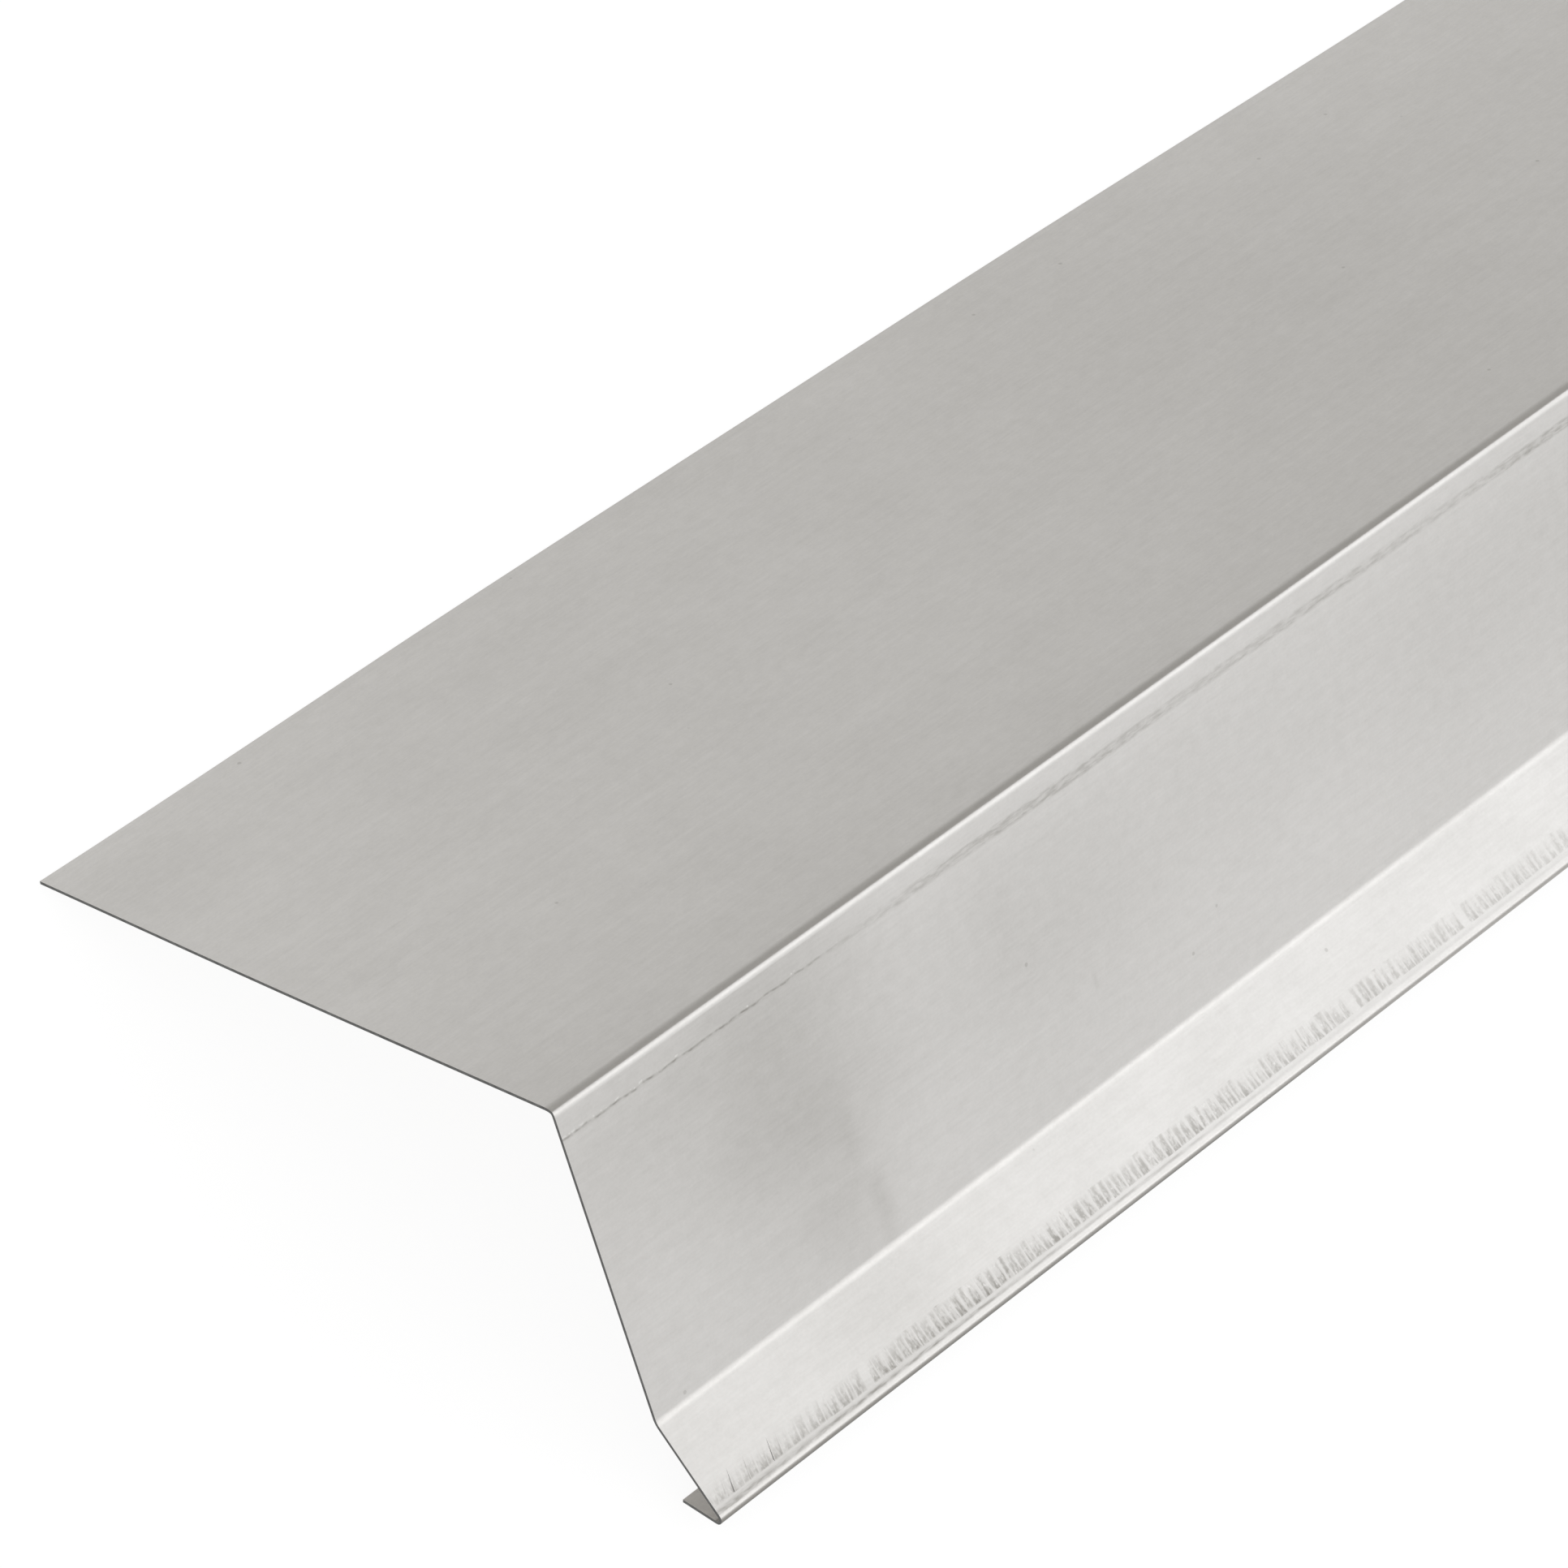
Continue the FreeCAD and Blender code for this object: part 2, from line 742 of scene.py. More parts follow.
@dataclass(frozen=True)
class ToolStrikes:
    """The row of strikes that the folding tool left on the kick, above the bottom fold.

    Attributes:
        above_fold: Distance from the strikes' lower ends to the end of the kick's flat.
        reach: Length of the longest strikes.
        guard: Width of the plain rows above and below them.
        cuts: Cuts in each column, which set the strikes' pitch.
        stagger: How far a strike's side may stray along the stock.
        ends_stray: How far one end of a side may stray from the side, as a share of the stagger.
        slant: How far the first strike leans along the stock, from its lower end to its upper.
        slant_length: How far from the near end the strikes stand upright.
        rim: Least width of the slope round a dent.
        shares: Share of the places that each kind of strike takes under full pressure.
        sure: Share of these places that are struck however light the pressure is.
        rim_highlight: How much lighter the zinc is that was squeezed up between the strikes: partly
            burnished zinc, partly painted highlight.
        spell: How far the tool's pressure goes through one swell and fall.
        swell: How far the pressure goes to each side of its mean in a spell.
        firmest: Where the pressure first peaks, from the near end.
        short_length: How far from the near end the strikes are short and weaker.
        end_pressure: Share of the pressure that is left at the near end.
        end_reach: Share of the length that is left there.
        least_reach: Length of the shortest strikes, as a share of the longest.
        foot_stray: How far a strike's lower end may lie above the row's.
        widths: Least and most width of a strike's lower end, as a share of its place.
        tips: Least and most width of its upper end, as a share of its lower one.
        tones: Least and most share of its kind's dullness that a strike has.
        tone_power: How fast the dullness falls with the pressure, as a power.
        tip_tone: Dullness of a strike's upper end, as a share of its lower one.
    """

    above_fold: float = 1.34 * MM
    reach: float = 3.5 * MM
    guard: float = 0.12 * MM
    cuts: int = 5
    stagger: float = 0.4 * MM
    ends_stray: float = 0.3
    slant: float = 1.1 * MM
    slant_length: float = 50 * MM
    rim: float = 0.08 * MM
    shares: tuple[tuple[Strike, float], ...] = (
        (Strike.HARD, 0.38),
        (Strike.FIRM, 0.36),
        (Strike.LIGHT, 0.26),
    )
    sure: float = 0.86
    rim_highlight: float = 0.02
    spell: float = 310 * MM
    swell: float = 0.22
    firmest: float = 55 * MM
    short_length: float = 42 * MM
    end_pressure: float = 0.74
    end_reach: float = 0.4
    least_reach: float = 0.6
    foot_stray: float = 0.3 * MM
    widths: tuple[float, float] = (0.65, 0.92)
    tips: tuple[float, float] = (0.15, 0.6)
    tones: tuple[float, float] = (0.8, 1.0)
    tone_power: float = 1.3
    tip_tone: float = 0.6

    def middle(self, section: Section) -> float:
        """Developed distance of the middle of the row."""
        end = section.start_of(Leg.KICK) + section.flats[Leg.KICK.value]
        return end - self.above_fold - self.reach / 2

    def lean(self, from_end: float) -> float:
        """How far a strike leans along the stock, at a distance from the near end."""
        return self.slant * max(0.0, 1.0 - from_end / self.slant_length)

    def pressure(self, from_end: float) -> float:
        """How hard the tool pressed, from about 0.6 to 1, at a distance from the near end."""
        wave = math.cos(2 * math.pi * (from_end - self.firmest) / self.spell)
        return (1.0 - self.swell + self.swell * wave) * self._from(self.end_pressure, from_end)

    def kind(self, from_end: float, share: float) -> Strike | None:
        """What kind of strike stands at a place.

        Args:
            from_end: Distance from the near end of the stock.
            share: From 0 to 1, the place's luck.

        Returns:
            The kind, or None where the tool left no mark.
        """
        for kind, taken in self.shares:
            share -= taken * (self.sure + (1.0 - self.sure) * self.pressure(from_end))
            if share < 0.0:
                return kind
        return None

    def length(self, from_end: float, share: float) -> float:
        """Length of a strike.

        Args:
            from_end: Distance from the near end of the stock.
            share: From 0 to 1, the strike's place among short and long ones.

        Returns:
            The length.
        """
        longest = (self.reach - 3 * self.rim) * self._from(self.end_reach, from_end)
        return longest * (self.least_reach + (1.0 - self.least_reach) * share)

    def _from(self, least: float, from_end: float) -> float:
        """A share that rises from its least value at the near end to 1, where the strikes are full."""
        return min(1.0, least + (1.0 - least) * from_end / self.short_length)


def make_active(piece: bpy.types.Object) -> None:
    """Select one piece alone and make it the active object.

    Args:
        piece: The piece.
    """
    bpy.ops.object.select_all(action="DESELECT")
    piece.select_set(True)
    bpy.context.view_layer.objects.active = piece


class EditBench:
    """One mesh in edit mode, with selection by place."""

    def __init__(self, piece: bpy.types.Object) -> None:
        """Open a piece for editing, with nothing selected.

        Args:
            piece: The piece, which becomes the active object.
        """
        self.piece = piece
        make_active(piece)
        bpy.ops.object.mode_set(mode="EDIT")
        bpy.ops.mesh.select_all(action="DESELECT")

    def close(self) -> None:
        """Go back to object mode."""
        bpy.ops.object.mode_set(mode="OBJECT")

    def mesh(self) -> bmesh.types.BMesh:
        """The mesh being edited."""
        return bmesh.from_edit_mesh(self.piece.data)

    def update(self) -> None:
        """Hand the changed mesh back to Blender."""
        bmesh.update_edit_mesh(self.piece.data)

    def layer(self, name: str) -> bmesh.types.BMLayerItem:
        """The attribute of that name at the mesh's points, a new one if there is none yet."""
        layers = self.mesh().verts.layers.float
        return layers.get(name) or layers.new(name)

    def pick_edges(self, test: Callable[[bmesh.types.BMEdge], bool]) -> None:
        """Select the edges that pass a test, and nothing else.

        Args:
            test: Says whether an edge is wanted.
        """
        bpy.ops.mesh.select_mode(type="EDGE")
        bpy.ops.mesh.select_all(action="DESELECT")
        wanted = [edge for edge in self.mesh().edges if test(edge)]
        for edge in wanted:
            edge.select_set(True)
        self.update()

    def pick_faces(self, test: Callable[[bmesh.types.BMFace], bool]) -> int:
        """Select the faces that pass a test, and nothing else.

        Args:
            test: Says whether a face is wanted.

        Returns:
            How many were selected.
        """
        bpy.ops.mesh.select_mode(type="FACE")
        bpy.ops.mesh.select_all(action="DESELECT")
        wanted = [face for face in self.mesh().faces if test(face)]
        for face in wanted:
            face.select_set(True)
        self.update()
        return len(wanted)


@dataclass(frozen=True)
class ToneAndShadePatch:
    """A soft darker patch on the weather side: painted shade for darker reflections, in part the zinc's own
    uneven tone.

    Attributes:
        leg: The leg that carries it.
        from_end: Distance of its middle from the near end of the stock.
        across: Distance of its middle from the start of the leg's flat.
        half_length: Half its length along the stock.
        half_width: Half its width across the sheet.
        dullness: How dull it is, from 0 to 1.
    """

    leg: Leg
    from_end: float
    across: float
    half_length: float
    half_width: float
    dullness: float


@dataclass(frozen=True)
class Grain:
    """One fine pattern in the zinc, as noise on the developed sheet.

    Attributes:
        along: Cells to a metre along the stock.
        across: Cells to a metre across the sheet.
        detail: Octaves of the noise.
        tone: How much it adds to the dullness.
        rough: How much it adds to the roughness.
        height: How much it adds to the relief.
    """

    along: float
    across: float
    detail: float
    tone: float
    rough: float = 0.0
    height: float = 0.0

    def pattern(self, canvas: Canvas) -> Wire:
        """Its value at each place of the sheet, about 0."""
        return canvas.noise(self.along, self.across, self.detail) - 0.5


@dataclass(frozen=True)
class Canvas:
    """The developed sheet, as the nodes of a finish read it.

    Attributes:
        bench: The bench of these nodes.
        section: The section, whose developed distances place the wear.
        length: Length of the stock.
        flat: Developed coordinates.
        place: The same, shifted so that two sides of the sheet differ.
        along: Distance from the near end.
        across: Developed distance from the roof leg's free edge.
    """

    bench: NodeBench
    section: Section
    length: float
    flat: Wire
    place: Wire
    along: Wire
    across: Wire

    @classmethod
    def lay_out(cls, bench: NodeBench, section: Section, length: float, seed: float) -> Canvas:
        """Read a piece's developed coordinates.

        Args:
            bench: The bench of the finish's nodes.
            section: The section.
            length: Length of the stock.
            seed: How far the patterns are shifted.

        Returns:
            The canvas.
        """
        flat = bench.wire("ShaderNodeUVMap", {"uv_map": DripEdge.DEVELOPED})
        place = bench.vector("ADD", flat, (seed, seed, 0.0))
        along = bench.wire("ShaderNodeSeparateXYZ", None, {0: flat}, "X") + length / 2
        across = bench.wire("ShaderNodeSeparateXYZ", None, {0: flat}, "Y")
        return cls(bench, section, length, flat, place, along, across)

    def noise(self, along: float, across: float, detail: float) -> Wire:
        """Noise about 0.5, by its cells to a metre along and across the sheet and its octaves."""
        return self.bench.noise(self.place, (along, across, 1.0), detail)

    def mark(self, name: str) -> Wire:
        """The dullness that the tools left, as the attribute of that name has it."""
        return self.bench.wire("ShaderNodeAttribute", {"attribute_name": name}, None, "Fac")


@dataclass(frozen=True)
class ZincFinish:
    """Satin mill finish of galvanised sheet, with fine rolling grain along the stock.

    Attributes:
        name: The material's name.
        light: Colour of clean zinc.
        dark: Colour of dulled zinc, of the painted shade on the bottom fold, and of the darker patches.
        crest_shade_colour: Colour of the painted shade along the bottom fold's crest.
        dullness: Mean dullness of clean zinc, from 0 for light to 1 for dark.
        roughness: Mean roughness.
        tool_roughness: What the tools' marks add to the roughness where they are fully dull.
        relief: Strength and depth of the fine relief.
        seed: Shifts the patterns, so that two sides differ.
        mottle: The mottling, which also makes the darker patches' outlines uneven.
        grains: The other patterns: bands, streaks, rolling grain, speckle, crystals and dashes.
        specks: Cells to a metre that may each hold a small dark speck.
        speck_dullness: How dull a speck is.
        face_dullness: How much duller the upper half of the face is.
        fold_shade_level: Mean strength of the painted shade on the bottom fold, which stands for the
            shadowed floor that the fold reflects.
        fold_shade_swell: How far that painted shade goes up and down along the stock.
        crest_shade_share: How far the painted shade along the fold's crest takes its darker colour, from 0
            to 1.
        fold_shade_spell: How far the painted shade on the bottom fold goes from dark to less dark and back.
        tone_and_shade_patches: Darker patches, painted shade in part and the zinc's own uneven tone in
            part.
        scribe: The scribed line that starts as a fine scratch, on the side that has it.
        strikes: The strikes, whose lean the torn zinc follows.
    """

    name: str
    light: tuple[float, float, float, float] = (0.655, 0.641, 0.62, 1.0)
    dark: tuple[float, float, float, float] = (0.265, 0.253, 0.23, 1.0)
    crest_shade_colour: tuple[float, float, float, float] = (0.16, 0.154, 0.142, 1.0)
    dullness: float = 0.07
    roughness: float = 0.37
    tool_roughness: float = 0.1
    relief: tuple[float, float] = (0.2, 0.02 * MM)
    seed: float = 0.0
    mottle: Grain = Grain(75.0, 110.0, 4.0, tone=0.11, rough=0.07)
    grains: tuple[Grain, ...] = (
        Grain(26.0, 12.0, 1.0, tone=0.08),
        Grain(3.5, 900.0, 2.0, tone=0.09),
        Grain(38.0, 2600.0, 3.0, tone=0.08, rough=0.08, height=0.5),
        Grain(1900.0, 2400.0, 1.0, tone=0.12, rough=0.05, height=0.35),
        Grain(420.0, 560.0, 3.0, tone=0.16),
        Grain(230.0, 2000.0, 2.0, tone=0.13),
    )
    specks: float = 95.0
    speck_dullness: float = 0.3
    face_dullness: float = 0.07
    fold_shade_level: float = 0.7
    fold_shade_swell: float = 0.13
    crest_shade_share: float = 0.85
    fold_shade_spell: float = 360 * MM
    tone_and_shade_patches: tuple[ToneAndShadePatch, ...] = ()
    scribe: ScribedLine | None = None
    strikes: ToolStrikes = ToolStrikes()

    def material(self, section: Section, length: float) -> bpy.types.Material:
        """Make the material.

        Args:
            section: The section, whose developed distances place the patterns.
            length: Length of the stock.

        Returns:
            The material.
        """
        made, bench = new_material(self.name)
        canvas = Canvas.lay_out(bench, section, length, self.seed)
        marks = self._pressed(canvas) + self._struck(canvas)
        # Painted shade on the bottom fold, for the shadowed floor that it reflects, with a darker crest.
        fold_shade, crest_shade = self._painted_fold_shade(canvas)
        patterns = {grain: grain.pattern(canvas) for grain in (self.mottle, *self.grains)}

        def total(start: float, share: Callable[[Grain], float]) -> Wire | float:
            """A start value and all the patterns, each by its share."""
            return sum((wire * share(grain) for grain, wire in patterns.items() if share(grain)), start)

        tone = total(self.dullness, lambda grain: grain.tone) + marks + fold_shade
        tone = tone + self._specks(canvas) * self.speck_dullness
        tone = tone + self._dull_face(canvas) * self.face_dullness
        # Darker patches: partly painted shade, partly the zinc's own uneven tone.
        tone = tone + self._patch_tone(canvas, patterns[self.mottle])
        if self.scribe:
            tone = tone + self._scratch(canvas)
        # The darker crest colour is painted shade on the bottom fold.
        colour = bench.mix(crest_shade, bench.mix(tone, self.light, self.dark), self.crest_shade_colour)
        rough = total(self.roughness, lambda grain: grain.rough) + marks * self.tool_roughness
        height = total(0.0, lambda grain: grain.height)
        strength, depth = self.relief
        sockets = {"Strength": strength, "Distance": depth, "Height": height}
        bump = bench.wire("ShaderNodeBump", None, sockets)
        sockets = {"Base Color": colour, "Metallic": 1.0, "Roughness": rough, "Normal": bump}
        bench.surface(bench.node("ShaderNodeBsdfPrincipled", None, sockets))
        return made

    def _specks(self, canvas: Canvas) -> Wire:
        """Small dark specks, far apart.

        Args:
            canvas: The canvas.

        Returns:
            A mask, 1 on a speck.
        """
        sockets = {"Vector": canvas.place, "Scale": self.specks}
        away = canvas.bench.wire("ShaderNodeTexVoronoi", None, sockets, "Distance")
        return canvas.bench.ease(away, 0.04, 0.02)

    @staticmethod
    def _pressed(canvas: Canvas) -> Wire:
        """Dullness of the zinc along the brake's lines, worn into dashes."""
        worn = canvas.bench.ease(canvas.noise(along=430.0, across=2100.0, detail=3.0), 0.34, 0.66)
        return canvas.mark(DripEdge.PRESSED) * (worn * 1.1 + 0.45)

    def _struck(self, canvas: Canvas) -> Wire:
        """Zinc dulled by the strikes, torn into streaks that lean as they do, with bright flecks.

        Args:
            canvas: The canvas.

        Returns:
            Its dullness.
        """
        bench = canvas.bench
        strikes = self.strikes
        lean = bench.ease(canvas.along, strikes.slant_length, 0.0) * (strikes.slant / strikes.reach)
        off = canvas.across - strikes.middle(canvas.section)
        slant = bench.wire("ShaderNodeCombineXYZ", None, {0: off * lean})
        streaks = bench.noise(bench.vector("ADD", canvas.place, slant), (1150.0, 260.0, 1.0), 2.0)
        shreds = canvas.noise(along=2400.0, across=1300.0, detail=2.0)
        flecks = canvas.noise(along=2000.0, across=1500.0, detail=1.0)
        torn = bench.ease(streaks * 0.65 + shreds * 0.35, 0.41, 0.59)
        return canvas.mark(DripEdge.STRUCK) * (torn * 1.15 + 0.34 - bench.ease(flecks, 0.6, 0.7) * 0.6)

    def _painted_fold_shade(self, canvas: Canvas) -> tuple[Wire, Wire]:
        """Painted shade on the bottom fold, for the shadowed floor that it reflects: darker on its crest,
        and stronger and weaker in spells.

        Args:
            canvas: The canvas.

        Returns:
            The painted shade's strength, and how far its crest takes the darker colour.
        """
        bench = canvas.bench
        turn = canvas.section.bends[-1].length
        start = canvas.section.start_of(Leg.RETURN) - turn
        rise = bench.ease(canvas.across, start + 0.08 * turn, start + 0.28 * turn)
        fall = bench.ease(canvas.across, start + 1.15 * turn, start + 0.95 * turn)
        crest = bench.band(canvas.across, start + 0.45 * turn, start + 0.62 * turn, 0.2 * turn)
        spell = bench.math("COSINE", canvas.along * (2 * math.pi / self.fold_shade_spell), 0.0)
        # Painted shade, stronger and weaker along the stock.
        dulled = rise * fall * (self.fold_shade_level + spell * self.fold_shade_swell)
        return dulled, crest * bench.ease(spell, -0.95, -0.5) * self.crest_shade_share

    @staticmethod
    def _dull_face(canvas: Canvas) -> Wire:
        """The upper half of the face, a little duller than the rest.

        Args:
            canvas: The canvas.

        Returns:
            A mask, 1 where it is dullest.
        """
        start = canvas.section.start_of(Leg.FACE)
        flat = canvas.section.flats[Leg.FACE.value]
        rise = canvas.bench.ease(canvas.across, start, start + 0.25 * flat)
        fall = canvas.bench.ease(canvas.across, start + 0.85 * flat, start + 0.4 * flat)
        return rise * fall

    def _patch_tone(self, canvas: Canvas, mottle: Wire) -> Wire | float:
        """The darker patches, painted shade in part, with soft and uneven outlines.

        Args:
            canvas: The canvas.
            mottle: Noise about 0 that makes the outlines uneven.

        Returns:
            Their dullness, 0 where the side has none.
        """
        bench = canvas.bench
        patches = []
        for tone_and_shade_patch in self.tone_and_shade_patches:
            start = canvas.section.start_of(tone_and_shade_patch.leg)
            end = start + canvas.section.flats[tone_and_shade_patch.leg.value]
            middle = (tone_and_shade_patch.from_end - canvas.length / 2, start + tone_and_shade_patch.across, 0.0)
            scale = (1 / tone_and_shade_patch.half_length, 1 / tone_and_shade_patch.half_width, 0.0)
            sized = bench.vector("MULTIPLY", bench.vector("SUBTRACT", canvas.flat, middle), scale)
            reach = bench.wire("ShaderNodeVectorMath", {"operation": "LENGTH"}, {0: sized}, "Value")
            soft = bench.ease(reach + mottle * 0.5, 1.0, 0.0)
            patches.append(bench.band(canvas.across, start, end, 0.3 * MM) * soft * tone_and_shade_patch.dullness)
        return sum(patches, 0.0)

    def _scratch(self, canvas: Canvas) -> Wire:
        """The fine scratch that the scribed line starts as: broken, with bright flecks above it.

        Args:
            canvas: The canvas.

        Returns:
            Its dullness, below 0 on a fleck.
        """
        bench = canvas.bench
        scribe = self.scribe
        near = bench.ease(canvas.along, 1.15 * scribe.fine_length, 0.8 * scribe.fine_length)
        middle = canvas.section.start_of(scribe.leg) + scribe.middle(canvas.section)
        wander = canvas.noise(along=330.0, across=0.0, detail=4.0) - 0.5
        off = canvas.across - (wander * (0.9 * MM) + middle)
        cut = bench.ease(bench.math("ABSOLUTE", off, 0.0), 0.24 * MM, 0.04 * MM)
        broken = bench.ease(canvas.noise(along=620.0, across=0.0, detail=3.0), 0.34, 0.62)
        fleck = bench.band(off, -0.42 * MM, -0.24 * MM, 0.08 * MM)
        spots = bench.ease(canvas.noise(along=1300.0, across=900.0, detail=1.0), 0.6, 0.68)
        return near * (cut * broken * 0.42 - fleck * spots * 0.5)


@dataclass(frozen=True)
class CutFinish:
    """Bare steel where the sheet was sheared.

    Attributes:
        name: The material's name.
        light: Colour of the burnished part of the cut.
        dark: Colour of the torn part.
        roughness: Roughness of the burnished part.
        torn_roughness: What the torn part adds to it.
        tears: Torn places to a metre.
    """

    name: str
    light: tuple[float, float, float, float] = (0.2, 0.2, 0.195, 1.0)
    dark: tuple[float, float, float, float] = (0.09, 0.09, 0.088, 1.0)
    roughness: float = 0.5
    torn_roughness: float = 0.15
    tears: float = 900.0

    def material(self) -> bpy.types.Material:
        """Make the material.

        Returns:
            The material.
        """
        made, bench = new_material(self.name)
        place = bench.wire("ShaderNodeTexCoord", None, None, "Object")
        torn = bench.noise(place, (self.tears, self.tears, self.tears), 2.0)
        colour = bench.mix(torn, self.light, self.dark)
        rough = self.roughness + torn * self.torn_roughness
        sockets = {"Base Color": colour, "Metallic": 1.0, "Roughness": rough}
        bench.surface(bench.node("ShaderNodeBsdfPrincipled", None, sockets))
        return made


@dataclass
class DripEdge:
    """The folded sheet as one fine mesh.

    Attributes:
        section: The section, laid in the frame.
        length: Length of the stock.
        scribe: The line that the brake scribed on the face.
        jaw: The line that the brake's jaw pressed into the kick.
        strikes: The strikes on the kick.
        tone_and_shade_patches: The darker patches, painted shade in part and the zinc's own uneven tone in
            part.
        column_cuts: Cuts along the stock, first into long columns and then in each of these.
        shoulder: Width of the rows beside each fold, which keep the flats flat.
        roof_rows: Rows across the roof leg.
        face_rows: Places of the rows across the face, as shares of its flat.
        sag: How far the middle of the roof leg sags.
        wave: The waves of the roof leg's free edge.
        skew: How far the near end of the roof leg was sheared out of square.
        burr: Width of the rounding on the cut edges.
        cut_angle: Degrees between two faces, past which the edge between them is a cut one.
        smooth_angle: Degrees between two faces, up to which they are shaded as one.
        seed: Seed of the strikes.
    """

    DEVELOPED = "developed"
    PRESSED = "pressed"
    STRUCK = "struck"

    section: Section
    length: float
    scribe: ScribedLine = ScribedLine()
    jaw: JawLine = JawLine()
    strikes: ToolStrikes = ToolStrikes()
    # Darker patches: painted shade for darker reflections, in part the zinc's own uneven tone.
    tone_and_shade_patches: tuple[ToneAndShadePatch, ...] = (
        ToneAndShadePatch(Leg.FACE, 38 * MM, 5 * MM, 32 * MM, 58 * MM, dullness=0.27),
        ToneAndShadePatch(Leg.FACE, 9 * MM, 4 * MM, 20 * MM, 24 * MM, dullness=0.12),
        ToneAndShadePatch(Leg.FACE, 44 * MM, 36 * MM, 13 * MM, 26 * MM, dullness=0.1),
        ToneAndShadePatch(Leg.FACE, 47 * MM, 29 * MM, 3.2 * MM, 9 * MM, dullness=0.08),
        ToneAndShadePatch(Leg.FACE, 49.5 * MM, 41 * MM, 3.2 * MM, 9 * MM, dullness=0.12),
        ToneAndShadePatch(Leg.FACE, 85 * MM, 15 * MM, 6 * MM, 14 * MM, dullness=0.04),
        ToneAndShadePatch(Leg.FACE, 92 * MM, 26 * MM, 32 * MM, 36 * MM, dullness=0.09),
        ToneAndShadePatch(Leg.FACE, 215 * MM, 24 * MM, 60 * MM, 40 * MM, dullness=0.07),
        ToneAndShadePatch(Leg.FACE, 99 * MM, 32.5 * MM, 0.8 * MM, 2.6 * MM, dullness=0.09),
        ToneAndShadePatch(Leg.KICK, 42 * MM, 5 * MM, 22 * MM, 11 * MM, dullness=0.13),
        ToneAndShadePatch(Leg.KICK, 40 * MM, 12.9 * MM, 48 * MM, 2.0 * MM, dullness=0.14),
        ToneAndShadePatch(Leg.KICK, 6 * MM, 13.4 * MM, 26 * MM, 1.7 * MM, dullness=0.12),
        ToneAndShadePatch(Leg.ROOF, 8 * MM, 12 * MM, 24 * MM, 14 * MM, dullness=0.1),
        ToneAndShadePatch(Leg.ROOF, 235 * MM, 55 * MM, 110 * MM, 85 * MM, dullness=0.08),
    )
    column_cuts: tuple[int, int] = (19, 9)
    shoulder: float = 0.4 * MM
    roof_rows: int = 10
    face_rows: tuple[float, ...] = (0.3, 0.5, 0.7, 0.85)
    sag: float = 0.15 * MM
    wave: EdgeWave = EdgeWave()
    skew: float = 0.55 * MM
    burr: float = 0.06 * MM
    cut_angle: float = 60.0
    smooth_angle: float = 16.0
    seed: int = 11

    @property
    def column(self) -> float:
        """Length of a column of the mesh along the stock."""
        return self.length / math.prod(cuts + 1 for cuts in self.column_cuts)

    @property
    def lines(self) -> tuple[PressedLine, ...]:
        """The lines that the brake pressed into the sheet."""
        return (self.scribe, self.jaw)

    def build(self) -> bpy.types.Object:
        """Model the sheet.

        Returns:
            The piece, at the origin, with its place in its mesh.
        """
        piece = self._fold_strip()
        self._divide(piece)
        self._sag(piece)
        self._thicken(piece)
        for line in self.lines:
            self._press_line(piece, line)
        self._strike(piece)
        self._map(piece)
        self._smooth(piece)
        return piece

    def dress(self, piece: bpy.types.Object) -> None:
        """Give the sheet its finishes.

        Args:
            piece: The piece.
        """
        weather = ZincFinish(
            "zinc_weather_side", tone_and_shade_patches=self.tone_and_shade_patches, scribe=self.scribe, strikes=self.strikes
        )
        inner = ZincFinish("zinc_inner_side", seed=3.7)
        finishes = {
            Side.WEATHER: weather.material(self.section, self.length),
            Side.INNER: inner.material(self.section, self.length),
            Side.CUT: CutFinish("sheared_edge").material(),
        }
        for side, finish in finishes.items():
            piece.material_slots[side.value].material = finish

    def _from_end(self, point: Vector) -> float:
        """Distance of a point from the near end of the stock."""
        return point.x + self.length / 2

    def _rows(self, leg: Leg) -> list[float]:
        """Distances of the rows across a leg from the start of its flat, with its end.

        Args:
            leg: The leg.

        Returns:
            The distances, in order.
        """
        flat = self.section.flats[leg.value]
        inner = [self.shoulder, flat - self.shoulder, flat]
        for line in self.lines:
            if line.leg is leg:
                inner.extend(line.places(self.section))
        if leg is Leg.ROOF:
            inner.extend(flat * row / self.roof_rows for row in range(1, self.roof_rows))
        elif leg is Leg.FACE:
            inner.extend(flat * share for share in self.face_rows)
        elif leg is Leg.KICK:
            low = flat - self.strikes.above_fold
            high = low - self.strikes.reach
            inner.extend((high / 2, high - self.strikes.guard, high, low, low + self.strikes.guard))
        rows = sorted(inner)
        return [row for row, after in zip(rows, [*rows[1:], math.inf]) if after - row > NEAR]

